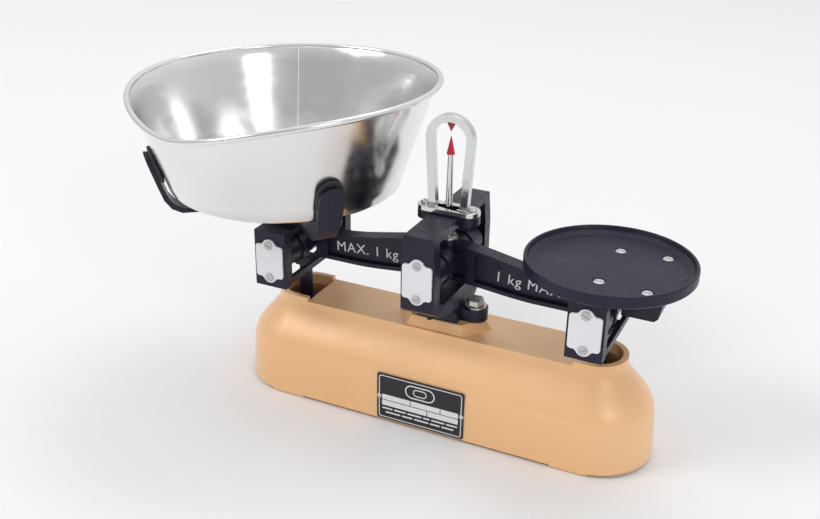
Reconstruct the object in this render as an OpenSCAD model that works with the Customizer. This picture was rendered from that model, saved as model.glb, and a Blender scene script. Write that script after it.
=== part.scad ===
// Counter balance with a beam on three knife-edges, a lift-off scoop on the left
// and a round plate for the weights on the right. A stay inside the base keeps
// both load carriers upright. X runs along the beam, Z is up, and the origin is
// on the floor under the centre knife-edge.

/* [Beam] */
// Distance from the centre knife-edge to each end knife-edge
arm_l = 130; // [128:0.5:132]
// Height of the three knife-edges above the floor
knife_z = 133.5; // [133:0.25:134]
// Side of the square steel bar that each knife-edge is ground from
knife_side = 8; // [7:0.5:8]
// Width of the beam's top and bottom flanges
flange_w = 13; // [10:1:16]
// Radius of the beam's cross hubs
hub_r = 13; // [12:0.5:13.5]

/* [Base] */
// Half width of the base at its flanks
base_half_w = 46; // [45:0.5:47]
// Half width of the flat top of the base
top_half_w = 24.3; // [24:0.1:26]
// Height of the flat top of the base
base_h = 81; // [80:0.5:82]
// Distance from the middle to the centre of each round end, at the top
spine = 127; // [126:0.5:128]
// The same distance at the floor
spine_foot = 131; // [129:0.5:132]
// Wall thickness of the base casting
wall = 5; // [4:0.5:6]
// Half width of the two openings that the stems pass through
opening_half_w = 19.8; // [18:0.2:20]

/* [Stand] */
// Distance from the middle to the outer face of each upright
stand_face_y = 56; // [55:0.5:57]
// Height of the stand's flat roof
roof_z = 175; // [174:0.5:176]

/* [Carriers] */
// Distance from the middle to the outer face of each carrier plate
carrier_face_y = 54.7; // [54:0.1:55.5]
// Width of the carrier plates along the beam
carrier_w = 28; // [27:0.5:29]
// Height of the lower pivots that join the stems to the stay
stay_z = 46; // [44:0.5:48]

/* [Pans] */
// Radius of the weight plate
plate_r = 64; // [60:0.5:66]
// Radius of the scoop's bottom
scoop_r = 94; // [93:0.5:95]
// Radius gained by the scoop's wall for each millimetre of height
scoop_slope = 0.33; // [0.32:0.002:0.34]
// Height of the scoop's bottom above the floor
scoop_z = 175; // [174.5:0.5:177]
// Height of the scoop's rim above its bottom
scoop_h = 88; // [80:1:92]
// Depth of the pouring dip in the rim
dip = 22; // [10:1:26]
// Direction of the pouring dip, seen from above
dip_angle = -104; // [-120:1:-90]

/* [Hidden] */
$fn = 64;
eps = 0.01;

// Base
foot_gap = 3;
foot_x0 = 109;
foot_x1 = 139;
top_t = 6;
shoulder_z = 38;
bottom_round = 3;
opening_x = 115;
lip_h = 3.5;
boss_h = 8;
boss_z = base_h + boss_h;

// Stand
bolt_x = 26;
bolt_hole_r = 4.5;
stand_wall = 11;
roof_t = 6;
stand_half_w = 13.8;
upright_top_half_w = 12;
lobe_r = 10;
lobe_top = boss_z + 10;
bracket_r = 9;
bracket_x = 16.7;
bracket_top = roof_z + 1;

// Knife-edges and their bearings
knife_half = knife_side / sqrt(2);
knife_gap = 0.1;
bearing_w = 15;
pocket_w = 15;
groove_angle = 60;
centre_cover_z = knife_z + 5.2;
end_cover_z = knife_z - 5.4;
cover_t = 1.8;
cover_w = 24.3;
cover_half_h = 18.75;
cover_lobe_r = 6;
cover_screw_z = cover_half_h - cover_lobe_r + 1;

// Beam
hub_end_y = 42;
collar_y = 24;
hub_z = knife_z + 4;
end_hub_z = knife_z - 4.5;
top_boss_z = 154;

// Guard and pointer
guard_top_z = 254;
screw_x = 20;
loop_r = 19.6;
loop_w = 6.1;
loop_t = 6.4;
guard_plate_t = 3.6;
guard_plate_z = bracket_top + guard_plate_t;
loop_z = guard_top_z - loop_r;

// Carriers
carrier_z0 = 105.2;
carrier_z1 = 152.9;
carrier_wall = 10;
bar_w = 4;
bar_top = 112;
stem_w = 9;
stem_t = 7;

// Weight plate
plate_screws = [[0, 29.5], [35.5, 32]];

// Scoop and cradle
scoop_x = -arm_l - 17;
rim_tilt = 4;
rim_tilt_angle = -18;
dip_spread = 40;
bead_r = 2.4;
sheet_t = 0.6;
scoop_steps = 72;
arm_angles = [-40, -140, 48, 132];
strap_t = 4;
strap_z = 156;
paddle_half_w = 10;
neck_half_w = 8.5;
paddle_z = 198;
arm_t = 4.2;
arm_gap = 7.8;
pad_t = 3.3;
pad_rise = 3.5;

// ------------------------------------------------------------------ helpers

module stadium(r, half_l, h) {
    for (s = [-1, 1]) {
        translate([s * half_l, 0, 0]) cylinder(r = r, h = h);
    }
    translate([-half_l, -r, 0]) cube([2 * half_l, 2 * r, h]);
}

module rounded_square(w, h, r) {
    square([w - 2 * r, h], center = true);
    square([w, h - 2 * r], center = true);
    for (sx = [-1, 1], sy = [-1, 1]) {
        translate([sx * (w / 2 - r), sy * (h / 2 - r)]) circle(r = r, $fn = 32);
    }
}

// Extrudes a drawing of the X-Z plane along Y, from y0 to y1
module extrude_y(y0, y1) {
    translate([0, y1, 0]) rotate([90, 0, 0]) linear_extrude(y1 - y0) children();
}

// Extrudes a drawing of the Y-Z plane along X, from x0 to x1
module extrude_x(x0, x1) {
    translate([x0, 0, 0]) rotate([90, 0, 90]) linear_extrude(x1 - x0) children();
}

// Slotted screw with its head standing on z = 0 and its shank going down
module slotted_screw(head_r, head_h, shank_r, shank_l) {
    difference() {
        union() {
            cylinder(r = head_r, h = head_h * 0.6);
            translate([0, 0, head_h * 0.6]) cylinder(r1 = head_r, r2 = head_r * 0.8, h = head_h * 0.4);
            translate([0, 0, -shank_l]) cylinder(r = shank_r, h = shank_l + eps, $fn = 32);
        }
        translate([-head_r - 1, -0.6, head_h * 0.45]) cube([2 * head_r + 2, 1.2, head_h]);
    }
}

// --------------------------------------------------------------------- base

function flank_half_w(z) =
    top_half_w + (base_half_w - top_half_w) *
    (0.5 + 0.5 * cos(180 * pow(max(0, (z - shoulder_z) / (base_h - shoulder_z)), 1.15)));

function flank(z1, n) =
    [for (i = [0:n]) let (z = shoulder_z + (z1 - shoulder_z) * i / n) [flank_half_w(z), z]];

function spine_at(z) = spine + (spine_foot - spine) * (0.5 + 0.5 * cos(180 * min(1, max(0, z) / base_h)));

// Closed body whose levels [half width, height] are long shapes with round ends
module long_round_body(levels, inset, step) {
    m = 2 * (180 / step + 1);
    rings = [for (p = levels, s = [1, -1], a = [-90:step:90])
        let (w = p[0] - inset) [s * (spine_at(p[1]) + w * cos(a)), s * w * sin(a), p[1]]];
    top = (len(levels) - 1) * m;
    sides = [for (i = [0:len(levels) - 2], j = [0:m - 1]) let (k = (j + 1) % m)
        [i * m + j, (i + 1) * m + j, (i + 1) * m + k, i * m + k]];
    polyhedron(
        points = rings,
        faces = concat([[for (j = [0:m - 1]) j]], sides, [[for (j = [m - 1:-1:0]) top + j]]),
        convexity = 4);
}

outer_levels = concat(
    [for (a = [0:22.5:67.5]) [base_half_w - bottom_round * (1 - sin(a)), bottom_round * (1 - cos(a))]],
    [for (z = [bottom_round:8.75:shoulder_z - 1]) [base_half_w, z]],
    flank(base_h, 13));

inner_levels = concat([[base_half_w, -1], [base_half_w, 20]], flank(base_h - top_t, 7));

// U-shaped plan of an end opening, grown by g
module opening_plan(s, g, h) {
    r = opening_half_w + g;
    intersection() {
        translate([s * spine, 0, 0]) cylinder(r = r, h = h);
        translate([s * (opening_x + 25), 0, h / 2]) cube([50, 2 * r + 1, h], center = true);
    }
    x_mid = s * (opening_x + spine) / 2;
    translate([x_mid, 0, h / 2]) cube([spine - opening_x, 2 * r, h], center = true);
}

module boss() {
    translate([0, 0, base_h - 1]) linear_extrude(boss_h + 1, scale = 0.84)
        polygon([[42, 0], [25, 22], [-25, 22], [-42, 0], [-25, -22], [25, -22]]);
}

module foot_pads() {
    for (sx = [-1, 1], sy = [-1, 1]) {
        translate([sx * (foot_x0 + foot_x1) / 2, sy * (base_half_w - 9), 6])
            cube([foot_x1 - foot_x0, 10, 12], center = true);
    }
}

module base_shell() {
    color([0.86, 0.62, 0.38]) difference() {
        union() {
            difference() {
                long_round_body(outer_levels, 0, 6);
                long_round_body(inner_levels, wall, 15);
                translate([-foot_x0, -100, -1]) cube([2 * foot_x0, 200, foot_gap + 1]);
                for (s = [-1, 1]) {
                    translate([s * (foot_x1 + 50), 0, foot_gap / 2 - 0.5])
                        cube([100, 200, foot_gap + 1], center = true);
                }
            }
            foot_pads();
            boss();
            for (s = [-1, 1]) {
                translate([0, 0, base_h - 2]) opening_plan(s, top_half_w - opening_half_w, lip_h + 2);
            }
        }
        for (s = [-1, 1]) {
            translate([0, 0, base_h - top_t - 4]) opening_plan(s, 0, 30);
            translate([s * bolt_x, 0, base_h - top_t - 1]) cylinder(r = bolt_hole_r, h = 20);
        }
    }
}

module name_plate() {
    color([0.12, 0.12, 0.16]) difference() {
        extrude_y(-base_half_w - 0.8, -base_half_w)
            translate([0, 25]) rounded_square(76, 42, 2);
        rivet_places() translate([0, 0, -5]) cylinder(r = 1.1, h = 10, $fn = 32);
    }
}

module rivet_places() {
    for (s = [-1, 1]) {
        translate([s * 36, -base_half_w - 0.8, 24.5]) rotate([90, 0, 0]) children();
    }
}

module name_plate_rivets() {
    color([0.8, 0.8, 0.8]) rivet_places() {
        cylinder(r1 = 2, r2 = 1.4, h = 0.8, $fn = 32);
        translate([0, 0, -0.8]) cylinder(r = 1, h = 0.81, $fn = 32);
    }
}

// -------------------------------------------------------------------- stand

module upright_front_outline() {
    polygon([
        [-upright_top_half_w, roof_z], [-stand_half_w, 152], [-stand_half_w, 112],
        [-17.2, 104], [-17.2, boss_z], [17.2, boss_z], [17.2, 104],
        [stand_half_w, 112], [stand_half_w, 152], [upright_top_half_w, roof_z]]);
}

module stand_side_outline() {
    difference() {
        polygon([
            [-stand_face_y, roof_z], [-stand_face_y, 114], [-46, 107], [-24, 103], [-17, 97],
            [-17, boss_z], [17, boss_z], [17, 97], [24, 103], [46, 107],
            [stand_face_y, 114], [stand_face_y, roof_z]]);
        polygon([
            [-stand_face_y + stand_wall, roof_z - roof_t], [-stand_face_y + stand_wall, 119],
            [-37, 114], [37, 114], [stand_face_y - stand_wall, 119],
            [stand_face_y - stand_wall, roof_z - roof_t]]);
    }
}

module knife_pocket(z0, z1) {
    translate([-pocket_w / 2, -60, z0]) cube([pocket_w, 120, z1 - z0]);
}

module cover_screw_holes(face_y, zc) {
    for (sz = [-1, 1]) {
        translate([0, -face_y - 5, zc + sz * cover_screw_z]) rotate([-90, 0, 0])
            cylinder(r = 2.2, h = 2 * face_y + 10, $fn = 32);
    }
}

module stand() {
    color([0.13, 0.13, 0.2]) difference() {
        union() {
            intersection() {
                extrude_x(-20, 20) stand_side_outline();
                extrude_y(-60, 60) upright_front_outline();
            }
            translate([0, 0, boss_z]) stadium(lobe_r, bolt_x, lobe_top - boss_z);
            translate([0, 0, roof_z - roof_t]) stadium(bracket_r, bracket_x, bracket_top - roof_z + roof_t);
            for (s = [-1, 1]) {
                translate([-1.75, s * 24 - 9, 96]) cube([3.5, 18, 14]);
            }
        }
        for (s = [-1, 1]) {
            translate([s * bolt_x, 0, boss_z - 1]) cylinder(r = bolt_hole_r, h = 20);
            translate([s * screw_x, 0, bracket_top - 6]) cylinder(r = 1.7, h = 8, $fn = 32);
        }
        translate([0, 0, roof_z - roof_t - 1]) stadium(4, 6, 12);
        knife_pocket(127, 148);
        cover_screw_holes(stand_face_y, centre_cover_z);
    }
}

module at_bolts() {
    for (s = [-1, 1]) {
        translate([s * bolt_x, 0, 0]) children();
    }
}

module stand_washers() {
    color([0.75, 0.76, 0.76]) at_bolts() translate([0, 0, lobe_top]) difference() {
        cylinder(r = 8.5, h = 1.6);
        translate([0, 0, -1]) cylinder(r = 4.2, h = 4);
    }
}

module stand_bolts() {
    color([0.75, 0.76, 0.76]) at_bolts() {
        translate([0, 0, lobe_top + 1.6]) cylinder(r = 7.2, h = 5.3, $fn = 6);
        translate([0, 0, base_h - top_t - 14]) cylinder(r = 4, h = lobe_top - base_h + top_t + 16);
    }
}

module stand_nuts() {
    color([0.7, 0.7, 0.7]) at_bolts() translate([0, 0, base_h - top_t - 10]) difference() {
        cylinder(r = 7.2, h = 6.5, $fn = 6);
        translate([0, 0, -1]) cylinder(r = 4.15, h = 9);
    }
}

// ----------------------------------------------------------------- bearings

// V-block with its groove opening upward and the groove's root on the origin
module v_block(below, depth) {
    half = bearing_w / 2;
    rise = 3.2;
    run = rise * tan(groove_angle);
    extrude_y(-depth / 2, depth / 2)
        polygon([[-half, -below], [half, -below], [half, rise], [run, rise], [0, 0], [-run, rise], [-half, rise]]);
}

module centre_bearings() {
    color([0.6, 0.62, 0.66])
        for (s = [-1, 1]) {
            translate([0, s * (stand_face_y - stand_wall / 2), knife_z - knife_gap])
                v_block(knife_z - knife_gap - 127, stand_wall - 2);
        }
}

module cover_outline() {
    fillet = 3.5;
    shoulder = 14;
    lobe_z = cover_half_h - cover_lobe_r;
    fz = shoulder + fillet;
    fx = sqrt(pow(cover_lobe_r + fillet, 2) - pow(fz - lobe_z, 2));
    rounded_square(cover_w, 2 * shoulder, 2.5);
    for (s = [0, 1]) {
        mirror([0, s]) {
            translate([0, lobe_z]) circle(r = cover_lobe_r);
            difference() {
                polygon([[-fx, shoulder - 1], [fx, shoulder - 1], [fx, fz], [0, lobe_z], [-fx, fz]]);
                for (m = [-1, 1]) {
                    translate([m * fx, fz]) circle(r = fillet);
                }
            }
        }
    }
}

module cover_pair(face_y, zc) {
    color([0.85, 0.85, 0.87])
        for (s = [-1, 1]) {
            difference() {
                extrude_y(min(s * face_y, s * (face_y + cover_t)), max(s * face_y, s * (face_y + cover_t)))
                    translate([0, zc]) cover_outline();
                cover_screw_holes(face_y, zc);
            }
        }
}

module cover_screws(face_y, zc) {
    color([0.7, 0.7, 0.72])
        for (s = [0, 1], sz = [-1, 1]) {
            mirror([0, s, 0]) translate([0, -face_y - cover_t, zc + sz * cover_screw_z])
                rotate([90, 25 * sz, 0]) slotted_screw(3.6, 1.1, 2, 8);
        }
}

module centre_covers() {
    cover_pair(stand_face_y, centre_cover_z);
}

module centre_cover_screws() {
    cover_screws(stand_face_y, centre_cover_z);
}

// ---------------------------------------------------------- indicator guard

module loop_outline(r, foot) {
    circle_z = loop_z;
    translate([0, circle_z]) circle(r = r);
    polygon([[-foot, guard_plate_z - 1], [foot, guard_plate_z - 1], [r, circle_z], [-r, circle_z]]);
}

module indicator_guard() {
    color([0.8, 0.81, 0.8]) difference() {
        union() {
            extrude_y(-loop_t / 2, loop_t / 2) difference() {
                loop_outline(loop_r, 16.2);
                loop_outline(loop_r - loop_w, 9.9);
            }
            translate([0, 0, bracket_top]) stadium(bracket_r, bracket_x, guard_plate_t);
        }
        translate([0, 0, bracket_top - 1]) stadium(3.6, 5.6, 8);
        for (s = [-1, 1]) {
            translate([s * screw_x, 0, bracket_top - 1]) cylinder(r = 1.9, h = 8, $fn = 32);
        }
    }
}

module guard_screws() {
    color([0.75, 0.76, 0.76])
        for (s = [-1, 1]) {
            translate([s * screw_x, 0, guard_plate_z]) rotate([0, 0, 35 * s]) slotted_screw(3.4, 2, 1.5, 8.5);
        }
}

module fixed_index() {
    color([0.6, 0.1, 0.12]) extrude_y(-1.2, 1.2) intersection() {
        polygon([[-4.4, 249], [4.4, 249], [0, 240.6]]);
        translate([0, loop_z]) circle(r = loop_r - loop_w);
    }
}

// --------------------------------------------------------------------- stay

module stay_bracket() {
    plate_top = base_h - top_t;
    color([0.2, 0.2, 0.24]) difference() {
        union() {
            translate([0, 0, plate_top - 3.5]) stadium(10, 26, 3.5);
            for (s = [-1, 1]) {
                translate([-9, s * 7.5 - 2, stay_z]) cube([18, 4, plate_top - stay_z - 3]);
                translate([0, s * 7.5 + 2, stay_z]) rotate([90, 0, 0]) cylinder(r = 9, h = 4);
            }
        }
        at_bolts() translate([0, 0, plate_top - 5]) cylinder(r = bolt_hole_r, h = 10);
        translate([0, 20, stay_z]) rotate([90, 0, 0]) cylinder(r = 3.02, h = 40);
    }
}

module stay_pivot_pin() {
    color([0.7, 0.7, 0.72]) translate([0, 12, stay_z]) rotate([90, 0, 0]) {
        cylinder(r = 3, h = 24);
        translate([0, 0, 21.6]) cylinder(r = 4.5, h = 2.4);
        cylinder(r = 4.5, h = 2.4);
    }
}

module stay() {
    color([0.3, 0.3, 0.34]) difference() {
        union() {
            translate([-arm_l + 14, -2.5, stay_z - 6]) cube([2 * arm_l - 28, 5, 12]);
            translate([0, 4, stay_z]) rotate([90, 0, 0]) cylinder(r = 9, h = 8);
            for (s = [-1, 1]) {
                translate([s * (arm_l - 13) - 3, -9, stay_z - 6]) cube([6, 18, 12]);
                for (sy = [-1, 1]) {
                    translate([s * arm_l, sy * 7.25 + 1.75, stay_z]) rotate([90, 0, 0]) cylinder(r = 6, h = 3.5);
                    translate([s * (arm_l - 6) - 8, sy * 7.25 - 1.75, stay_z - 6]) cube([14, 3.5, 12]);
                }
            }
        }
        translate([0, 10, stay_z]) rotate([90, 0, 0]) cylinder(r = 3.06, h = 20);
        for (s = [-1, 1]) {
            translate([s * arm_l, 10, stay_z]) rotate([90, 0, 0]) cylinder(r = 2.02, h = 20);
        }
    }
}

module stay_end_pins() {
    color([0.7, 0.7, 0.72])
        for (s = [-1, 1]) {
            translate([s * arm_l, 11, stay_z]) rotate([90, 0, 0]) {
                cylinder(r = 2, h = 22);
                cylinder(r = 3.4, h = 1.8);
                translate([0, 0, 20.2]) cylinder(r = 3.4, h = 1.8);
            }
        }
}

// --------------------------------------------------------------------- beam

function beam_top(x) = 138.5 + 13 * (0.5 + 0.5 * cos(180 * min(1, x / 105)));
function beam_bottom(x) = 115.4 + 5.4 * (0.5 + 0.5 * cos(180 * min(1, x / 80)));

beam_xs = [for (i = [0:16]) i * (arm_l - 12) / 16];

function band(f, from, to) = concat(
    [for (x = beam_xs) [x, f(x) + from]],
    [for (i = [len(beam_xs) - 1:-1:0]) [beam_xs[i], f(beam_xs[i]) + to]]);

module both_arms() {
    for (m = [0, 1]) {
        mirror([m, 0, 0]) children();
    }
}

module knife_bar(half_l) {
    rotate([0, 45, 0]) cube([knife_side, 2 * half_l, knife_side], center = true);
}

module hub(x, z, r) {
    translate([x, hub_end_y, z]) rotate([90, 0, 0]) cylinder(r = r, h = 2 * hub_end_y);
    for (s = [-1, 1]) {
        translate([x, s * collar_y + 2, z]) rotate([90, 0, 0]) cylinder(r = r + 1.4, h = 4);
    }
}

module beam() {
    web = concat(
        [for (x = beam_xs) [x, beam_top(x)]],
        [for (i = [len(beam_xs) - 1:-1:0]) [beam_xs[i], beam_bottom(beam_xs[i])]]);
    color([0.13, 0.13, 0.2]) difference() {
        union() {
            both_arms() {
                extrude_y(-2.75, 2.75) polygon(web);
                extrude_y(-flange_w / 2, flange_w / 2) {
                    polygon(band(function (x) beam_top(x), 0, -4));
                    polygon(band(function (x) beam_bottom(x), 0, 3.5));
                }
                translate([18, -flange_w / 2, 121]) cube([8, flange_w, 27]);
                translate([105, -flange_w / 2, 117]) cube([10, flange_w, 20]);
                hub(arm_l, end_hub_z, hub_r);
            }
            hub(0, hub_z, hub_r);
            translate([0, 0, hub_z]) cylinder(r = 9, h = top_boss_z - hub_z);
            for (s = [-1, 1]) {
                translate([0, s * 32, hub_z]) cylinder(r = 5.5, h = 14.6);
            }
        }
        translate([0, 0, knife_z + knife_half]) knife_bar(60);
        for (s = [-1, 1]) {
            translate([s * arm_l, 0, knife_z - knife_half]) knife_bar(60);
            translate([0, s * 32, hub_z + 8]) cylinder(r = 2.7, h = 10, $fn = 32);
        }
        translate([0, 0, hub_z + 8]) cylinder(r = 3.2, h = 12, $fn = 32);
    }
}

module centre_knife() {
    color([0.6, 0.6, 0.65]) translate([0, 0, knife_z + knife_half]) knife_bar(stand_face_y - 1.5);
}

module end_knife(s) {
    color([0.6, 0.6, 0.65]) translate([s * arm_l, 0, knife_z - knife_half]) knife_bar(carrier_face_y - 1.5);
}

module left_knife() {
    end_knife(-1);
}

module right_knife() {
    end_knife(1);
}

module knife_lock_screws() {
    color([0.75, 0.76, 0.76])
        for (s = [-1, 1]) {
            translate([0, s * 32, hub_z + 14.6]) slotted_screw(4.2, 2.6, 2.4, 6);
        }
}

module pointer_nut() {
    color([0.75, 0.76, 0.76]) translate([0, 0, top_boss_z]) difference() {
        union() {
            cylinder(r = 8, h = 1.2);
            translate([0, 0, 1.2]) cylinder(r = 6.6, h = 4, $fn = 6);
        }
        translate([0, 0, -1]) cylinder(r = 3.2, h = 8, $fn = 32);
    }
}

module pointer() {
    color([0.75, 0.75, 0.74]) {
        translate([0, 0, hub_z + 8.5]) cylinder(r = 3, h = 23.5);
        translate([0, 0, hub_z + 32]) cylinder(r1 = 3, r2 = 2.1, h = 222.6 - hub_z - 32);
    }
}

module pointer_tip() {
    color([0.85, 0.05, 0.2]) translate([0, 0, 222.6]) cylinder(r1 = 3.3, r2 = 0.3, h = 13.8);
}

// ----------------------------------------------------------------- carriers

module carrier_frame(s) {
    half = carrier_w / 2;
    inner_y = carrier_face_y - carrier_wall;
    color([0.13, 0.13, 0.2]) translate([s * arm_l, 0, 0]) difference() {
        union() {
            for (sy = [-1, 1]) {
                translate([-half, sy * (carrier_face_y - carrier_wall / 2) - carrier_wall / 2, carrier_z0])
                    cube([carrier_w, carrier_wall, carrier_z1 - carrier_z0]);
            }
            translate([-half, -inner_y - 1, carrier_z1 - 5.4]) cube([carrier_w, 2 * inner_y + 2, 5.4]);
        }
        knife_pocket(119, 139);
        translate([0, 0, end_cover_z]) cover_screw_holes(carrier_face_y, 0);
        for (sy = [-1, 1]) {
            translate([0, sy * 29.5, carrier_z1 - 8]) cylinder(r = 2.2, h = 10, $fn = 32);
        }
    }
}

// Two bars between the carrier's plates, and the bridge that holds the stem
module carrier_ties(s) {
    half = carrier_w / 2;
    inner_y = carrier_face_y - carrier_wall;
    z0 = carrier_z0 + 1.3;
    color([0.13, 0.13, 0.2]) translate([s * arm_l, 0, 0]) difference() {
        union() {
            for (sx = [-1, 1]) {
                translate([sx * (half - bar_w / 2) - bar_w / 2, -inner_y, z0])
                    cube([bar_w, 2 * inner_y, bar_top - z0]);
            }
            translate([-half, -7, z0]) cube([carrier_w, 14, 4.7]);
        }
        translate([-stem_w / 2, -stem_t / 2, carrier_z0]) cube([stem_w, stem_t, 8]);
    }
}

module left_ties() {
    carrier_ties(-1);
}

module right_ties() {
    carrier_ties(1);
}

module left_carrier() {
    carrier_frame(-1);
}

module right_carrier() {
    carrier_frame(1);
}

module stem(s) {
    color([0.13, 0.13, 0.2]) translate([s * arm_l, 0, 0]) difference() {
        union() {
            translate([-stem_w / 2, -stem_t / 2, stay_z]) cube([stem_w, stem_t, carrier_z0 + 6 - stay_z]);
            translate([-7, -6, carrier_z0 - 1.7]) cube([14, 12, 3]);
            translate([0, stem_t / 2, stay_z]) rotate([90, 0, 0]) cylinder(r = 5.6, h = stem_t);
        }
        translate([0, 10, stay_z]) rotate([90, 0, 0]) cylinder(r = 2.5, h = 20);
    }
}

module left_stem() {
    stem(-1);
}

module right_stem() {
    stem(1);
}

module end_bearings(s) {
    color([0.6, 0.62, 0.66])
        for (sy = [-1, 1]) {
            translate([s * arm_l, sy * (carrier_face_y - carrier_wall / 2), knife_z + knife_gap])
                rotate([180, 0, 0]) v_block(139 - knife_z - knife_gap, carrier_wall - 2);
        }
}

module left_bearings() {
    end_bearings(-1);
}

module right_bearings() {
    end_bearings(1);
}

module left_covers() {
    translate([-arm_l, 0, 0]) cover_pair(carrier_face_y, end_cover_z);
}

module right_covers() {
    translate([arm_l, 0, 0]) cover_pair(carrier_face_y, end_cover_z);
}

module left_cover_screws() {
    translate([-arm_l, 0, 0]) cover_screws(carrier_face_y, end_cover_z);
}

module right_cover_screws() {
    translate([arm_l, 0, 0]) cover_screws(carrier_face_y, end_cover_z);
}

// ------------------------------------------------------------- weight plate

module weight_plate() {
    z0 = carrier_z1;
    color([0.15, 0.15, 0.2]) translate([arm_l, 0, z0]) difference() {
        rotate_extrude($fn = 96) polygon([
            [0, 0], [54, 0], [55, 0.6], [plate_r - 1.5, 0.6], [plate_r, 2.1], [plate_r, 9.6],
            [plate_r - 0.8, 10.4], [plate_r - 2.4, 10.4], [plate_r - 3.6, 7.2], [plate_r - 8, 4.6], [0, 4.6]]);
        at_plate_screws() {
            translate([0, 0, -1]) cylinder(r = 2.3, h = 12, $fn = 32);
            translate([0, 0, 2.8]) cylinder(r = 4.7, h = 4, $fn = 32);
        }
    }
}

module at_plate_screws() {
    for (p = plate_screws, s = [-1, 1]) {
        translate([p[0], s * p[1], 0]) children();
    }
}

module weight_plate_screws() {
    color([0.8, 0.8, 0.8]) translate([arm_l, 0, carrier_z1 + 2.8]) at_plate_screws()
        slotted_screw(4.4, 1.7, 2, 7);
}

module shot_box() {
    top = carrier_z1;
    color([0.13, 0.13, 0.2]) difference() {
        union() {
            intersection() {
                extrude_y(-30, 30) polygon([
                    [arm_l + 16, top], [arm_l + 47.5, top], [arm_l + 43, 132], [arm_l + 40, 129], [arm_l + 16, 129]]);
                extrude_x(100, 200) polygon([[-25, top], [25, top], [19.5, 129], [-19.5, 129]]);
            }
            translate([arm_l + 28.5, -38, top - 3]) cube([14, 76, 3]);
        }
        translate([arm_l + 19, -16, 132]) cube([21, 32, 17]);
        translate([arm_l + 29, 0, 128]) cylinder(r = 4.1, h = 6);
        for (s = [-1, 1]) {
            translate([arm_l + plate_screws[1][0], s * plate_screws[1][1], top - 5])
                cylinder(r = 2.2, h = 10, $fn = 32);
        }
    }
}

module shot_plug() {
    color([0.5, 0.5, 0.52]) translate([arm_l + 29, 0, 129]) rotate([180, 0, 0])
        slotted_screw(6.2, 2, 4, 3);
}

module adjusting_lead() {
    color([0.4, 0.4, 0.43]) translate([arm_l + 19.5, -15.5, 132]) cube([20, 31, 14]);
}

// ---------------------------------------------------------- scoop and cradle

function wall_r(z) = scoop_r + scoop_slope * (z - scoop_z);

// Side view of a cradle arm: r outward from the scoop's axis, z up
arm_top = paddle_z + 12;
arm_profile = [
    [20, strap_z], [scoop_r - 8, strap_z + 1], [scoop_r, strap_z + 5], [scoop_r + 5.5, strap_z + 12.5],
    [wall_r(180) + arm_gap, 180], [wall_r(arm_top) + arm_gap, arm_top],
    [wall_r(arm_top) + arm_gap - arm_t, arm_top], [wall_r(181) + arm_gap - arm_t, 181],
    [scoop_r + 1.6, strap_z + 14], [scoop_r - 3, strap_z + 8.5], [scoop_r - 10, strap_z + 5],
    [20, strap_z + strap_t]];

module paddle_outline(grow) {
    w = paddle_half_w + grow;
    translate([0, paddle_z]) circle(r = w);
    translate([-w, 181]) square([2 * w, paddle_z - 181]);
}

module arm_outline() {
    paddle_outline(0);
    polygon([
        [-neck_half_w, 150], [neck_half_w, 150], [neck_half_w, 172], [paddle_half_w, 181],
        [-paddle_half_w, 181], [-neck_half_w, 172]]);
}

module at_arms() {
    for (a = arm_angles) {
        translate([scoop_x, 0, 0]) rotate([0, 0, a]) children();
    }
}

module cradle() {
    color([0.13, 0.13, 0.2]) difference() {
        union() {
            at_arms() intersection() {
                extrude_y(-20, 20) polygon(arm_profile);
                extrude_x(0, 140) arm_outline();
            }
            translate([scoop_x, 0, carrier_z1]) cylinder(r = 22, h = strap_z + strap_t - carrier_z1);
            translate([-arm_l - 13, -36, carrier_z1]) cube([26, 72, strap_z - carrier_z1]);
        }
        for (sy = [-1, 1]) {
            translate([-arm_l, sy * 29.5, carrier_z1 - 1]) cylinder(r = 2.3, h = 10, $fn = 32);
            translate([-arm_l, sy * 29.5, strap_z]) cylinder(r = 4.8, h = 10);
        }
    }
}

module cradle_screws() {
    color([0.75, 0.76, 0.76])
        for (sy = [-1, 1]) {
            translate([-arm_l, sy * 29.5, strap_z]) slotted_screw(4.2, 2, 2, 8.5);
        }
}

module cradle_pads() {
    z0 = 184;
    z1 = 220;
    back = arm_gap - arm_t;
    color([0.25, 0.25, 0.27]) at_arms() intersection() {
        extrude_y(-20, 20) polygon([
            [wall_r(z0) + back - pad_t, z0], [wall_r(z0) + back, z0],
            [wall_r(z1) + back, z1], [wall_r(z1) + back - pad_t, z1]]);
        extrude_x(0, 160) translate([0, pad_rise]) paddle_outline(1);
    }
}

function turn(a) = (a + 540) % 360 - 180;
function rim_z(a) =
    scoop_z + scoop_h + rim_tilt * cos(a - rim_tilt_angle)
    - dip * exp(-pow(abs(turn(a - dip_angle)) / dip_spread, 1.7));

// One radial section of the scoop, from the bottom's outside round the rim bead to its inside
function scoop_section(a) =
    let (zr = rim_z(a), bead = [wall_r(zr) + bead_r - sheet_t, zr - bead_r])
    concat(
        [[scoop_r - 4, scoop_z], [scoop_r - 0.6, scoop_z + 1], [wall_r(scoop_z + 3), scoop_z + 3]],
        [[wall_r(zr - 2 * bead_r), zr - 2 * bead_r]],
        [for (b = [-60:30:180]) bead + bead_r * [cos(b), sin(b)]],
        [[wall_r(zr - 8) - sheet_t, zr - 8]],
        [[wall_r(scoop_z + 3) - sheet_t, scoop_z + 3], [scoop_r - 4.5, scoop_z + sheet_t]]);

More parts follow.
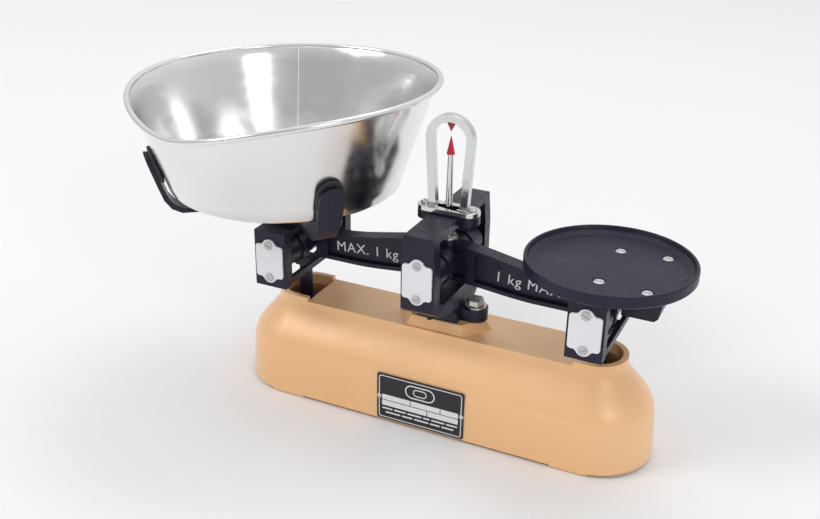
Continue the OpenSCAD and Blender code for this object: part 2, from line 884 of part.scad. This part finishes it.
module scoop() {
    n = scoop_steps;
    m = len(scoop_section(0));
    rings = [for (i = [0:n - 1]) let (a = 360 * i / n) [
        for (p = scoop_section(a)) [p[0] * cos(a), p[0] * sin(a), p[1]]]];
    points = concat([for (r = rings, p = r) p], [[0, 0, scoop_z], [0, 0, scoop_z + sheet_t]]);
    sides = [for (i = [0:n - 1], j = [0:m - 2]) let (k = (i + 1) % n) each [
        [i * m + j, i * m + j + 1, k * m + j + 1],
        [i * m + j, k * m + j + 1, k * m + j]]];
    bottom = [for (i = [0:n - 1]) [n * m, i * m, ((i + 1) % n) * m]];
    inside = [for (i = [0:n - 1]) [n * m + 1, ((i + 1) % n) * m + m - 1, i * m + m - 1]];
    color([0.82, 0.82, 0.82]) translate([scoop_x, 0, 0])
        polyhedron(points = points, faces = concat(sides, bottom, inside), convexity = 6);
}

base_shell();
stand();
stand_washers();
stand_bolts();
stand_nuts();
centre_bearings();
centre_covers();
centre_cover_screws();
indicator_guard();
guard_screws();
fixed_index();
name_plate();
name_plate_rivets();
stay_bracket();
stay_pivot_pin();
beam();
centre_knife();
left_knife();
right_knife();
knife_lock_screws();
pointer_nut();
pointer();
pointer_tip();
left_carrier();
left_ties();
left_stem();
left_bearings();
left_covers();
left_cover_screws();
cradle();
cradle_screws();
cradle_pads();
right_carrier();
right_ties();
right_stem();
right_bearings();
right_covers();
right_cover_screws();
weight_plate();
weight_plate_screws();
shot_box();
shot_plug();
adjusting_lead();
stay();
stay_end_pins();
scoop();
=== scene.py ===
"""Looks for the counter balance: materials, finer pieces, lights and camera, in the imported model's frame."""
import math

import bmesh
import bpy
from mathutils import Matrix, Vector


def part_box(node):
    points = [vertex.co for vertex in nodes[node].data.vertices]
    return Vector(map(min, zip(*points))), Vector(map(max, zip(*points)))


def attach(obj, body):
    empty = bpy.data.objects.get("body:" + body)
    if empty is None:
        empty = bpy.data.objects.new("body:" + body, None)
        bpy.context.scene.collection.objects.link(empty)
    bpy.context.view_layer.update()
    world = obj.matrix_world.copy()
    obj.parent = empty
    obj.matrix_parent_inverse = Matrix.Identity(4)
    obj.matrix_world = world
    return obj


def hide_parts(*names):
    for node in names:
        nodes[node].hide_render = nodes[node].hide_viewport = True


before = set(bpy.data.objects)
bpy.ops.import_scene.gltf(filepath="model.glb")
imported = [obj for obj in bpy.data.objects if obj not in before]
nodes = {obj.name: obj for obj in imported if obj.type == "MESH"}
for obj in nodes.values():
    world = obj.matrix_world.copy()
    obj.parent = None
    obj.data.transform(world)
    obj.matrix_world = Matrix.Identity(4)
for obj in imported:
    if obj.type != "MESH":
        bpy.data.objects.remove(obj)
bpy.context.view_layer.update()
scene = bpy.context.scene

# One millimetre in the scene's metres
MM = 0.001

# Sockets of the colour Mix node, which has one set for each data type
MIX_FACTOR = 0
MIX_A = 6
MIX_B = 7
MIX_RESULT = 2


# ------------------------------------------------------------------ modifiers

MERGE_DISTANCE = 0.000004
IMPORTED_SHARP_ANGLE = 30
FINAL_SHARP_ANGLE = 40
DISSOLVE_ANGLE = 0.6
BEVEL_ANGLE = 32


def shade_group(name, angle_deg, weld):
    """Geometry nodes that smooth all but the sharp edges, and first merge split corners if asked."""
    tree = bpy.data.node_groups.new(name, "GeometryNodeTree")
    tree.interface.new_socket("Geometry", in_out="INPUT", socket_type="NodeSocketGeometry")
    tree.interface.new_socket("Geometry", in_out="OUTPUT", socket_type="NodeSocketGeometry")
    start = tree.nodes.new("NodeGroupInput")
    end = tree.nodes.new("NodeGroupOutput")
    last = start.outputs[0]
    if weld:
        merge = tree.nodes.new("GeometryNodeMergeByDistance")
        merge.inputs["Distance"].default_value = MERGE_DISTANCE
        tree.links.new(last, merge.inputs["Geometry"])
        drop = tree.nodes.new("GeometryNodeRemoveAttribute")
        drop.inputs["Name"].default_value = "custom_normal"
        tree.links.new(merge.outputs[0], drop.inputs[0])
        last = drop.outputs[0]
    faces = tree.nodes.new("GeometryNodeSetShadeSmooth")
    faces.domain = "FACE"
    tree.links.new(last, faces.inputs["Geometry"])
    edges = tree.nodes.new("GeometryNodeSetShadeSmooth")
    edges.domain = "EDGE"
    edge_angle = tree.nodes.new("GeometryNodeInputMeshEdgeAngle")
    compare = tree.nodes.new("FunctionNodeCompare")
    compare.data_type = "FLOAT"
    compare.operation = "GREATER_THAN"
    compare.inputs[1].default_value = math.radians(angle_deg)
    tree.links.new(edge_angle.outputs[0], compare.inputs[0])
    tree.links.new(faces.outputs[0], edges.inputs["Geometry"])
    tree.links.new(compare.outputs[0], edges.inputs["Selection"])
    edges.inputs["Shade Smooth"].default_value = False
    tree.links.new(edges.outputs[0], end.inputs[0])
    return tree


WELD = shade_group("weld_and_smooth", IMPORTED_SHARP_ANGLE, True)
SMOOTH = shade_group("smooth_by_angle", FINAL_SHARP_ANGLE, False)


def add_group(obj, tree):
    modifier = obj.modifiers.new(tree.name, "NODES")
    modifier.node_group = tree


def soften(obj, width):
    """Cleans an imported node, rounds its sharp edges with a small bevel and smooths its shading."""
    add_group(obj, WELD)
    flat = obj.modifiers.new("flat", "DECIMATE")
    flat.decimate_type = "DISSOLVE"
    flat.angle_limit = math.radians(DISSOLVE_ANGLE)
    if width > 0:
        bevel = obj.modifiers.new("round_edges", "BEVEL")
        bevel.width = width
        bevel.segments = 2
        bevel.limit_method = "ANGLE"
        bevel.angle_limit = math.radians(BEVEL_ANGLE)
        bevel.use_clamp_overlap = True
        bevel.miter_outer = "MITER_ARC"
    add_group(obj, SMOOTH)
    even = obj.modifiers.new("even_normals", "WEIGHTED_NORMAL")
    even.keep_sharp = True


# ------------------------------------------------------------------ materials

def new_material(name, colour, metallic, roughness, coat=0.0, coat_roughness=0.15, specular=0.5):
    mat = bpy.data.materials.new(name)
    mat.use_nodes = True
    shader = mat.node_tree.nodes["Principled BSDF"]
    shader.inputs["Base Color"].default_value = (*colour, 1)
    shader.inputs["Metallic"].default_value = metallic
    shader.inputs["Roughness"].default_value = roughness
    shader.inputs["Coat Weight"].default_value = coat
    shader.inputs["Coat Roughness"].default_value = coat_roughness
    shader.inputs["Specular IOR Level"].default_value = specular
    return mat


def tree_of(mat):
    return mat.node_tree, mat.node_tree.nodes["Principled BSDF"]


def noise(mat, scale, detail, stretch=(1, 1, 1)):
    """Noise in the object's own space, in which lengths are metres."""
    tree, _ = tree_of(mat)
    place = tree.nodes.new("ShaderNodeTexCoord")
    mapping = tree.nodes.new("ShaderNodeMapping")
    mapping.inputs["Scale"].default_value = stretch
    texture = tree.nodes.new("ShaderNodeTexNoise")
    texture.inputs["Scale"].default_value = scale
    texture.inputs["Detail"].default_value = detail
    tree.links.new(place.outputs["Object"], mapping.inputs["Vector"])
    tree.links.new(mapping.outputs["Vector"], texture.inputs["Vector"])
    return texture.outputs["Fac"]


def rings(mat, centre, scale, distortion):
    """Concentric rings about a vertical axis, as a lathe leaves."""
    tree, _ = tree_of(mat)
    place = tree.nodes.new("ShaderNodeTexCoord")
    mapping = tree.nodes.new("ShaderNodeMapping")
    mapping.inputs["Location"].default_value = (-centre[0], -centre[1], 0)
    wave = tree.nodes.new("ShaderNodeTexWave")
    wave.wave_type = "RINGS"
    wave.rings_direction = "Z"
    wave.inputs["Scale"].default_value = scale
    wave.inputs["Distortion"].default_value = distortion
    wave.inputs["Detail"].default_value = 1.5
    tree.links.new(place.outputs["Object"], mapping.inputs["Vector"])
    tree.links.new(mapping.outputs["Vector"], wave.inputs["Vector"])
    return wave.outputs["Fac"]


def vary_colour(mat, factor, dark, light):
    tree, shader = tree_of(mat)
    mix = tree.nodes.new("ShaderNodeMix")
    mix.data_type = "RGBA"
    mix.inputs[MIX_A].default_value = (*dark, 1)
    mix.inputs[MIX_B].default_value = (*light, 1)
    tree.links.new(factor, mix.inputs[MIX_FACTOR])
    tree.links.new(mix.outputs[MIX_RESULT], shader.inputs["Base Color"])


def vary_roughness(mat, factor, low, high):
    """Spreads the middle of a noise over a range of roughness."""
    tree, shader = tree_of(mat)
    spread = tree.nodes.new("ShaderNodeMapRange")
    spread.inputs["From Min"].default_value = 0.35
    spread.inputs["From Max"].default_value = 0.65
    spread.inputs["To Min"].default_value = low
    spread.inputs["To Max"].default_value = high
    tree.links.new(factor, spread.inputs["Value"])
    tree.links.new(spread.outputs["Result"], shader.inputs["Roughness"])


def add_bump(mat, height, distance, strength=1.0):
    """Adds one layer of bump on top of those already there."""
    tree, shader = tree_of(mat)
    bump = tree.nodes.new("ShaderNodeBump")
    bump.inputs["Distance"].default_value = distance
    bump.inputs["Strength"].default_value = strength
    tree.links.new(height, bump.inputs["Height"])
    before = shader.inputs["Normal"].links
    if before:
        tree.links.new(before[0].from_socket, bump.inputs["Normal"])
    tree.links.new(bump.outputs["Normal"], shader.inputs["Normal"])


def base_paint():
    mat = new_material("base_paint", (0.93, 0.55, 0.25), 0.12, 0.45, coat=0.7, coat_roughness=0.3)
    vary_colour(mat, noise(mat, 9, 4), (0.9, 0.5, 0.22), (0.95, 0.59, 0.29))
    vary_roughness(mat, noise(mat, 60, 4), 0.4, 0.5)
    add_bump(mat, noise(mat, 55, 3), 0.00035)
    add_bump(mat, noise(mat, 2600, 2), 0.00003)
    return mat


def black_enamel():
    mat = new_material("black_enamel", (0.01, 0.01, 0.026), 0.0, 0.34,
                       coat=0.05, coat_roughness=0.3, specular=0.3)
    vary_colour(mat, noise(mat, 40, 4), (0.007, 0.007, 0.019), (0.014, 0.014, 0.034))
    vary_roughness(mat, noise(mat, 180, 4), 0.27, 0.44)
    add_bump(mat, noise(mat, 420, 4), 0.00022)
    add_bump(mat, noise(mat, 1800, 2), 0.000077)
    return mat


def turned_iron(centre):
    mat = new_material("turned_iron", (0.012, 0.012, 0.03), 0.1, 0.42,
                       coat=0.03, coat_roughness=0.35, specular=0.3)
    vary_colour(mat, rings(mat, centre, 190, 1.5), (0.009, 0.009, 0.022), (0.017, 0.017, 0.04))
    vary_roughness(mat, noise(mat, 260, 4), 0.34, 0.5)
    add_bump(mat, rings(mat, centre, 240, 0.8), 0.00012)
    add_bump(mat, noise(mat, 1500, 3), 0.00006)
    return mat


def zinc():
    mat = new_material("zinc_plate", (0.66, 0.67, 0.66), 1.0, 0.28)
    vary_colour(mat, noise(mat, 300, 3), (0.5, 0.52, 0.52), (0.78, 0.78, 0.75))
    vary_roughness(mat, noise(mat, 900, 3), 0.2, 0.4)
    add_bump(mat, noise(mat, 1400, 3), 0.00004)
    return mat


def ground_steel():
    """Steel with fine scratches along Y, as a grinding wheel leaves."""
    along = (1, 0.05, 1)
    mat = new_material("ground_steel", (0.42, 0.43, 0.46), 1.0, 0.3)
    vary_roughness(mat, noise(mat, 500, 3, along), 0.22, 0.42)
    add_bump(mat, noise(mat, 900, 3, along), 0.00003)
    return mat


def screw_head():
    mat = new_material("screw_head", (0.55, 0.55, 0.56), 0.6, 0.42)
    vary_colour(mat, noise(mat, 400, 3), (0.46, 0.46, 0.48), (0.62, 0.62, 0.62))
    add_bump(mat, noise(mat, 1400, 3), 0.00003)
    return mat


def cover_plate():
    mat = new_material("cover_aluminium", (0.82, 0.82, 0.85), 0.1, 0.45)
    vary_colour(mat, noise(mat, 30, 4), (0.78, 0.78, 0.81), (0.86, 0.86, 0.88))
    vary_roughness(mat, noise(mat, 700, 3), 0.42, 0.58)
    add_bump(mat, noise(mat, 1600, 3), 0.00004)
    return mat


def chrome():
    mat = new_material("chrome_plate", (0.66, 0.67, 0.66), 1.0, 0.16)
    vary_roughness(mat, noise(mat, 160, 4), 0.12, 0.24)
    add_bump(mat, noise(mat, 90, 2), 0.0004, 0.6)
    return mat


def red(name, dark, light, roughness):
    mat = new_material(name, light, 0.0, roughness, coat=0.4)
    vary_colour(mat, noise(mat, 500, 3), dark, light)
    add_bump(mat, noise(mat, 1500, 3), 0.00004)
    return mat


def rubber():
    mat = new_material("pad_rubber", (0.04, 0.04, 0.044), 0.0, 0.6, specular=0.3)
    vary_colour(mat, noise(mat, 90, 4), (0.032, 0.032, 0.036), (0.05, 0.05, 0.054))
    vary_roughness(mat, noise(mat, 300, 4), 0.45, 0.65)
    add_bump(mat, noise(mat, 1700, 3), 0.00008)
    return mat


def printed(name, colour, roughness):
    mat = new_material(name, colour, 0.0, roughness)
    dark = tuple(0.85 * channel for channel in colour)
    vary_colour(mat, noise(mat, 700, 3), dark, colour)
    add_bump(mat, noise(mat, 2200, 2), 0.00002)
    return mat


def lead():
    mat = new_material("lead", (0.18, 0.18, 0.2), 0.9, 0.55)
    vary_colour(mat, noise(mat, 200, 4), (0.12, 0.12, 0.14), (0.22, 0.22, 0.24))
    add_bump(mat, noise(mat, 400, 4), 0.0003)
    return mat


def stainless():
    mat = new_material("polished_stainless", (0.8, 0.795, 0.785), 1.0, 0.2)
    vary_colour(mat, noise(mat, 14, 3), (0.77, 0.765, 0.755), (0.84, 0.835, 0.825))
    vary_roughness(mat, noise(mat, 60, 4, (1, 1, 2)), 0.16, 0.24)
    add_bump(mat, noise(mat, 11, 2), 0.0012, 0.5)
    add_bump(mat, noise(mat, 500, 3), 0.00001)
    return mat


# ----------------------------------------------------------- building helpers

CORNER_STEPS = 5


def link_object(name, data):
    obj = bpy.data.objects.new(name, data)
    scene.collection.objects.link(obj)
    return obj


def add_piece(name, mesh, mat, body):
    mesh.materials.append(mat)
    obj = link_object(name, mesh)
    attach(obj, body)
    return obj


def piece_from_bmesh(name, bm, mat, body):
    bmesh.ops.recalc_face_normals(bm, faces=bm.faces)
    mesh = bpy.data.meshes.new(name)
    bm.to_mesh(mesh)
    bm.free()
    return add_piece(name, mesh, mat, body)


def join_loops(bm, loops, closed_ends=True):
    """Joins closed loops of points, each with the same count, into a tube."""
    rows = [[bm.verts.new(point) for point in loop] for loop in loops]
    count = len(rows[0])
    for below, above in zip(rows, rows[1:]):
        for i in range(count):
            j = (i + 1) % count
            bm.faces.new((below[i], below[j], above[j], above[i]))
    if closed_ends:
        bm.faces.new(reversed(rows[0]))
        bm.faces.new(rows[-1])


def at_depth(outline, y):
    """Points of an X-Z drawing in millimetres, placed on a Y plane."""
    return [Vector((x * MM, y * MM, z * MM)) for x, z in outline]


def rounded_rectangle(cx, cz, w, h, r):
    points = []
    for sx, sz, start in ((1, 1, 0), (-1, 1, 90), (-1, -1, 180), (1, -1, 270)):
        for i in range(CORNER_STEPS + 1):
            a = math.radians(start + 90 * i / CORNER_STEPS)
            points.append((cx + sx * (w / 2 - r) + r * math.cos(a), cz + sz * (h / 2 - r) + r * math.sin(a)))
    return points


def flat_prism(name, outline, y0, y1, mat, body, slot):
    """An X-Z drawing made solid between two Y planes."""
    bm = bmesh.new()
    join_loops(bm, [at_depth(outline, y) for y in (y0, y1)])
    piece_from_bmesh(name, bm, mat, body)


def frame_strip(name, cx, cz, w, h, r, line, y0, y1, mat, body, slot):
    """A raised closed line that follows a rounded rectangle."""
    outer = rounded_rectangle(cx, cz, w, h, r)
    inner = rounded_rectangle(cx, cz, w - 2 * line, h - 2 * line, max(r - line, 0.2))
    bm = bmesh.new()
    loops = [at_depth(outline, y) for outline, y in ((outer, y0), (outer, y1), (inner, y1), (inner, y0))]
    join_loops(bm, loops + [loops[0]], closed_ends=False)
    bmesh.ops.remove_doubles(bm, verts=bm.verts, dist=1e-7)
    piece_from_bmesh(name, bm, mat, body)


def lettering(name, words, centre, size, angle, depth, mat, body):
    """Raised letters that face the front, turned by an angle in degrees about Y."""
    curve = bpy.data.curves.new(name, "FONT")
    curve.body = words
    curve.size = size * MM
    curve.extrude = depth * MM
    curve.align_x = "CENTER"
    curve.align_y = "CENTER"
    curve.space_character = 1.1
    curve.resolution_u = 3
    made = link_object(name + "_curve", curve)
    bpy.context.view_layer.update()
    mesh = bpy.data.meshes.new_from_object(made.evaluated_get(bpy.context.evaluated_depsgraph_get()))
    bpy.data.objects.remove(made)
    place = Matrix.Translation(Vector(centre) * MM) @ Matrix.Rotation(math.radians(angle), 4, "Y")
    mesh.transform(place @ Matrix.Rotation(math.pi / 2, 4, "X"))
    mesh.name = name
    mesh.materials.clear()
    add_piece(name, mesh, mat, body)


# ------------------------------------------------------------------ CAD nodes

M_BASE = base_paint()
M_BLACK = black_enamel()
M_ZINC = zinc()
M_STEEL = ground_steel()
M_SCREW = screw_head()
M_COVER = cover_plate()
M_CHROME = chrome()
M_RUBBER = rubber()
M_RED = red("arrow_red", (0.5, 0.003, 0.03), (0.72, 0.006, 0.05), 0.3)
M_INDEX = red("index_red", (0.25, 0.008, 0.015), (0.38, 0.015, 0.025), 0.45)
M_WHITE = printed("print_white", (0.86, 0.86, 0.87), 0.4)
M_PLATE = printed("plate_black", (0.012, 0.012, 0.02), 0.3)
M_LEAD = lead()

plate_low, plate_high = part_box("weight_plate")
PLATE_CENTRE = ((plate_low.x + plate_high.x) / 2, (plate_low.y + plate_high.y) / 2)
M_TURNED = turned_iron(PLATE_CENTRE)

# Each node's material and the width of its rounded edges in millimetres
FINISHES = {
    "base_shell": (M_BASE, 1.1), "stand": (M_BLACK, 0.8), "stand_washers": (M_ZINC, 0.2),
    "stand_bolts": (M_ZINC, 0.5), "stand_nuts": (M_ZINC, 0.4), "centre_bearings": (M_STEEL, 0.15),
    "centre_covers": (M_COVER, 0.35), "centre_cover_screws": (M_SCREW, 0.2),
    "indicator_guard": (M_CHROME, 1.5), "guard_screws": (M_ZINC, 0.2), "fixed_index": (M_INDEX, 0.2),
    "name_plate": (M_PLATE, 0.1), "name_plate_rivets": (M_ZINC, 0.1), "stay_bracket": (M_BLACK, 0.5),
    "stay_pivot_pin": (M_STEEL, 0.2), "beam": (M_BLACK, 0.8), "centre_knife": (M_STEEL, 0.1),
    "left_knife": (M_STEEL, 0.1), "right_knife": (M_STEEL, 0.1), "knife_lock_screws": (M_ZINC, 0.2),
    "pointer_nut": (M_ZINC, 0.4), "pointer": (M_CHROME, 0), "pointer_tip": (M_RED, 0),
    "left_carrier": (M_BLACK, 0.7), "left_ties": (M_BLACK, 0.4), "left_stem": (M_BLACK, 0.7),
    "left_bearings": (M_STEEL, 0.15), "left_covers": (M_COVER, 0.35), "left_cover_screws": (M_SCREW, 0.2),
    "cradle": (M_BLACK, 0.8), "cradle_screws": (M_ZINC, 0.2), "cradle_pads": (M_RUBBER, 1.4),
    "right_carrier": (M_BLACK, 0.7), "right_ties": (M_BLACK, 0.4), "right_stem": (M_BLACK, 0.7),
    "right_bearings": (M_STEEL, 0.15), "right_covers": (M_COVER, 0.35), "right_cover_screws": (M_SCREW, 0.2),
    "weight_plate": (M_TURNED, 0.5), "weight_plate_screws": (M_ZINC, 0.2),
    "shot_box": (M_BLACK, 1.2), "shot_plug": (M_ZINC, 0.3), "adjusting_lead": (M_LEAD, 0.5),
    "stay": (M_BLACK, 0.6), "stay_end_pins": (M_STEEL, 0.2),
}


def finish_cad_nodes():
    for name, (mat, edge) in FINISHES.items():
        obj = nodes[name]
        for material_slot in obj.material_slots:
            material_slot.link = "OBJECT"
            material_slot.material = mat
        soften(obj, edge * MM)


# ---------------------------------------------------------------------- scoop

# All in millimetres and degrees. Angles run from +X toward +Y.
SCOOP_X = -147.0
SCOOP_Z = 175.0
SCOOP_R = 94.0
SLOPE = 0.33
SCOOP_H = 88.0
SHEET = 0.6
BEAD = 2.4
RIM_TILT = 4
RIM_TILT_ANGLE = -18
DIP = 22
DIP_ANGLE = -104
DIP_SPREAD = 40
DIP_POWER = 1.7
WALL_START = 3
INNER_WALL_END = 6
WALL_STEPS = 10
BEAD_ANGLES = range(-75, 196, 15)
FLOOR_RADII = (0, 30, 60, 80, 90)
SCOOP_SEGMENTS = 240
SEAM_ANGLE = 115
SEAM_STEPS = 12
SEAM_START = 4
SEAM_CUT = 10
# The seam's section: along the wall, and in from it
SEAM_SECTION = ((-0.8, -0.3), (-0.45, 0.1), (0, 0.2), (0.45, 0.1), (0.8, -0.3))


def wall_r(z):
    return SCOOP_R + SLOPE * (z - SCOOP_Z)


def rim_z(a):
    """Height of the rim at an angle: a slight tilt and the pouring dip."""
    turn = (a - DIP_ANGLE + 540) % 360 - 180
    tilt = RIM_TILT * math.cos(math.radians(a - RIM_TILT_ANGLE))
    return SCOOP_Z + SCOOP_H + tilt - DIP * math.exp(-abs(turn / DIP_SPREAD) ** DIP_POWER)


def wall_heights(start, end):
    """Heights along a wall, without its start."""
    return [start + (end - start) * i / WALL_STEPS for i in range(1, WALL_STEPS + 1)]


def scoop_profile(a):
    """Radius and height from the bottom's middle, up the outside, round the bead and down the inside."""
    top = rim_z(a)
    low = SCOOP_Z + WALL_START
    points = [(r, SCOOP_Z) for r in FLOOR_RADII]
    points += [(SCOOP_R - 1.6, SCOOP_Z + 0.5), (SCOOP_R - 0.3, SCOOP_Z + 1.5), (wall_r(low), low)]
    points += [(wall_r(z), z) for z in wall_heights(low, top - 2 * BEAD)]
    bead_r = wall_r(top) + BEAD - SHEET
    bead_z = top - BEAD
    for angle in BEAD_ANGLES:
        t = math.radians(angle)
        points.append((bead_r + BEAD * math.cos(t), bead_z + BEAD * math.sin(t)))
    high = top - INNER_WALL_END
    points += [(wall_r(z) - SHEET, z) for z in (high, *wall_heights(high, low))]
    points += [(SCOOP_R - 2.6, SCOOP_Z + 1.2), (SCOOP_R - 5, SCOOP_Z + SHEET)]
    points += [(r, SCOOP_Z + SHEET) for r in reversed(FLOOR_RADII)]
    return points


def build_scoop(mat):
    bm = bmesh.new()
    columns = []
    for i in range(SCOOP_SEGMENTS):
        a = 360 * i / SCOOP_SEGMENTS
        t = math.radians(a)
        columns.append([
            bm.verts.new(((SCOOP_X + r * math.cos(t)) * MM, r * math.sin(t) * MM, z * MM))
            for r, z in scoop_profile(a)])
    for left, right in zip(columns, columns[1:] + columns[:1]):
        for i in range(len(left) - 1):
            bm.faces.new((left[i], right[i], right[i + 1], left[i + 1]))
    bmesh.ops.remove_doubles(bm, verts=bm.verts, dist=1e-6)
    obj = piece_from_bmesh("scoop_pan", bm, mat, "scoop_body")
    add_group(obj, SMOOTH)
    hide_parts("scoop")


def build_scoop_seam(mat):
    """The welded seam that runs up the inside of the scoop at the back."""
    a = math.radians(SEAM_ANGLE)
    across = Vector((-math.sin(a), math.cos(a), 0))
    inward = Vector((-math.cos(a), -math.sin(a), 0))
    rows = []
    for i in range(SEAM_STEPS + 1):
        z = SCOOP_Z + SEAM_START + (SCOOP_H - SEAM_CUT) * i / SEAM_STEPS
        r = wall_r(z) - SHEET
        centre = Vector((SCOOP_X + r * math.cos(a), r * math.sin(a), z))
        rows.append([(centre + across * x + inward * y) * MM for x, y in SEAM_SECTION])
    bm = bmesh.new()
    join_loops(bm, rows)
    obj = piece_from_bmesh("scoop_seam", bm, mat, "scoop_body")
    add_group(obj, SMOOTH)


# -------------------------------------------------------- name plate and print

# How far the print starts behind the name plate's face, and how far it stands out
PRINT_SUNK = 0.05
PRINT_RAISED = 0.12

# Height above the plate's lower edge, then the ends of each field or bar from the plate's middle
PLATE_FIELDS = (
    (20.6, ((-33.4, -8.6), (-7.9, 17.6), (18.3, 33.4))),
    (15.2, ((-33.4, 6.2), (6.9, 33.4))),
)
PLATE_BARS = (
    (10.2, ((-33, -24), (-22.5, -12), (-10.5, 2), (3.5, 9), (10.5, 22), (23.5, 33))),
    (6.6, ((-30, -17), (-15.5, -6), (-4.5, 8), (9.5, 18), (19.5, 30))),
)
FIELD_H = 4.7
BAR_H = 1.3
EMBLEM_Z = 31.5


def print_name_plate():
    low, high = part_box("name_plate")
    front = low.y / MM
    cx = (low.x + high.x) / 2 / MM
    z0 = low.z / MM
    z1 = high.z / MM
    args = (front + PRINT_SUNK, front - PRINT_RAISED, M_WHITE, "base", "cover_aluminium")
    frame_strip("plate_border", cx, (z0 + z1) / 2, 72.5, z1 - z0 - 3, 2.2, 0.7, *args)
    for kind, rows, tall in (("field", PLATE_FIELDS, FIELD_H), ("line", PLATE_BARS, BAR_H)):
        for row, (height, spans) in enumerate(rows):
            for column, (x0, x1) in enumerate(spans):
                outline = rounded_rectangle(cx + (x0 + x1) / 2, z0 + height, x1 - x0, tall, 0.3)
                flat_prism(f"plate_{kind}_{row}_{column}", outline, *args)
    frame_strip("plate_emblem", cx, z0 + EMBLEM_Z, 26, 12, 5.9, 1.0, *args)
    frame_strip("plate_emblem_inner", cx, z0 + EMBLEM_Z, 12, 6.5, 3.2, 0.8, *args)


LETTER_X = 70
LETTER_Y = -2.78
LETTER_Z = 128.6
LETTER_SIZE = 12
LETTER_SLOPE = 3
LETTER_DEPTH = 0.06


def print_beam():
    for name, words, side in (("left_arm_letters", "MAX. 1 kg", -1), ("right_arm_letters", "1 kg MAX.", 1)):
        centre = (side * LETTER_X, LETTER_Y, LETTER_Z)
        lettering(name, words, centre, LETTER_SIZE, side * LETTER_SLOPE, LETTER_DEPTH,
                  M_WHITE, "beam_body")


# ------------------------------------------------------------ camera and light

CAMERA_PLACE = (0.2936, -0.7001, 0.486)
CAMERA_AZIMUTH = 24.973
CAMERA_ELEVATION = 24.905
CAMERA_ROLL = 1.011

# Name, place and target in metres, width and height in metres, power in watts
SOFTBOXES = (
    ("key_light", (-2.1, -1.7, 2.6), (0, 0, 0.1), 1.3, 1.1, 34),
    ("fill_light", (2.4, -1.9, 1.9), (0, 0, 0.12), 0.9, 0.9, 14),
    ("top_light", (0.2, 1.2, 2.8), (-0.1, 0, 0.1), 1.6, 0.8, 12),
)

# Brightness at the two ends of each ramp: from below to above, and from front to back
HEIGHT_ENDS = (0.62, 1.0)
SIDE_ENDS = (0.55, 1.0)
SKY_BLUE_SHARE = 1.01
SKY_STRENGTH = 1.13
FLOOR_HALF_WIDTH = 14


def add_camera():
    azimuth = math.radians(CAMERA_AZIMUTH)
    elevation = math.radians(CAMERA_ELEVATION)
    roll = math.radians(CAMERA_ROLL)
    back = Vector((math.sin(azimuth) * math.cos(elevation), -math.cos(azimuth) * math.cos(elevation),
                   math.sin(elevation)))
    right = Vector((math.cos(azimuth), math.sin(azimuth), 0))
    up = back.cross(right)
    rolled_right = right * math.cos(roll) + up * math.sin(roll)
    rolled_up = up * math.cos(roll) - right * math.sin(roll)
    data = bpy.data.cameras.new("camera")
    data.sensor_width = 36
    data.lens = 46.4
    data.clip_start = 0.01
    data.clip_end = 60
    camera = link_object("camera", data)
    turn = Matrix((rolled_right, rolled_up, back)).transposed().to_4x4()
    camera.matrix_world = Matrix.Translation(CAMERA_PLACE) @ turn
    scene.camera = camera


def add_softbox(name, place, target, width, height, power):
    data = bpy.data.lights.new(name, "AREA")
    data.shape = "RECTANGLE"
    data.size = width
    data.size_y = height
    data.energy = power
    lamp = link_object(name, data)
    lamp.location = place
    lamp.rotation_euler = (Vector(target) - Vector(place)).to_track_quat("-Z", "Y").to_euler()


def brightness_ramp(tree, ends):
    node = tree.nodes.new("ShaderNodeValToRGB")
    for mark, value in zip(node.color_ramp.elements, ends):
        mark.color = (value, value, value * SKY_BLUE_SHARE, 1)
    return node


def add_world():
    """A plain studio: bright overhead and behind, darker low down and on the front side."""
    world = bpy.data.worlds.new("studio")
    world.use_nodes = True
    scene.world = world
    tree = world.node_tree
    background = tree.nodes["Background"]
    place = tree.nodes.new("ShaderNodeTexCoord")
    split = tree.nodes.new("ShaderNodeSeparateXYZ")
    height = brightness_ramp(tree, HEIGHT_ENDS)
    side = brightness_ramp(tree, SIDE_ENDS)
    mix = tree.nodes.new("ShaderNodeMix")
    mix.data_type = "RGBA"
    mix.blend_type = "MULTIPLY"
    mix.inputs[MIX_FACTOR].default_value = 1.0
    toward_back = tree.nodes.new("ShaderNodeMapRange")
    toward_back.inputs["From Min"].default_value = -1.0
    tree.links.new(place.outputs["Generated"], split.inputs[0])
    tree.links.new(split.outputs["Z"], height.inputs["Fac"])
    tree.links.new(split.outputs["Y"], toward_back.inputs["Value"])
    tree.links.new(toward_back.outputs["Result"], side.inputs["Fac"])
    tree.links.new(height.outputs["Color"], mix.inputs[MIX_A])
    tree.links.new(side.outputs["Color"], mix.inputs[MIX_B])
    tree.links.new(mix.outputs[MIX_RESULT], background.inputs["Color"])
    background.inputs["Strength"].default_value = SKY_STRENGTH


def add_floor():
    mesh = bpy.data.meshes.new("floor")
    bm = bmesh.new()
    bmesh.ops.create_grid(bm, x_segments=1, y_segments=1, size=FLOOR_HALF_WIDTH)
    bm.to_mesh(mesh)
    bm.free()
    mat = new_material("floor_paper", (0.88, 0.88, 0.88), 0.0, 0.9, specular=0.1)
    vary_colour(mat, noise(mat, 3, 2), (0.87, 0.87, 0.87), (0.89, 0.89, 0.89))
    mesh.materials.append(mat)
    floor = link_object("floor", mesh)


add_camera()
add_world()
add_floor()
for softbox in SOFTBOXES:
    add_softbox(*softbox)
scene.view_settings.view_transform = "Standard"

finish_cad_nodes()
steel = stainless()
build_scoop(steel)
build_scoop_seam(steel)
print_name_plate()
print_beam()
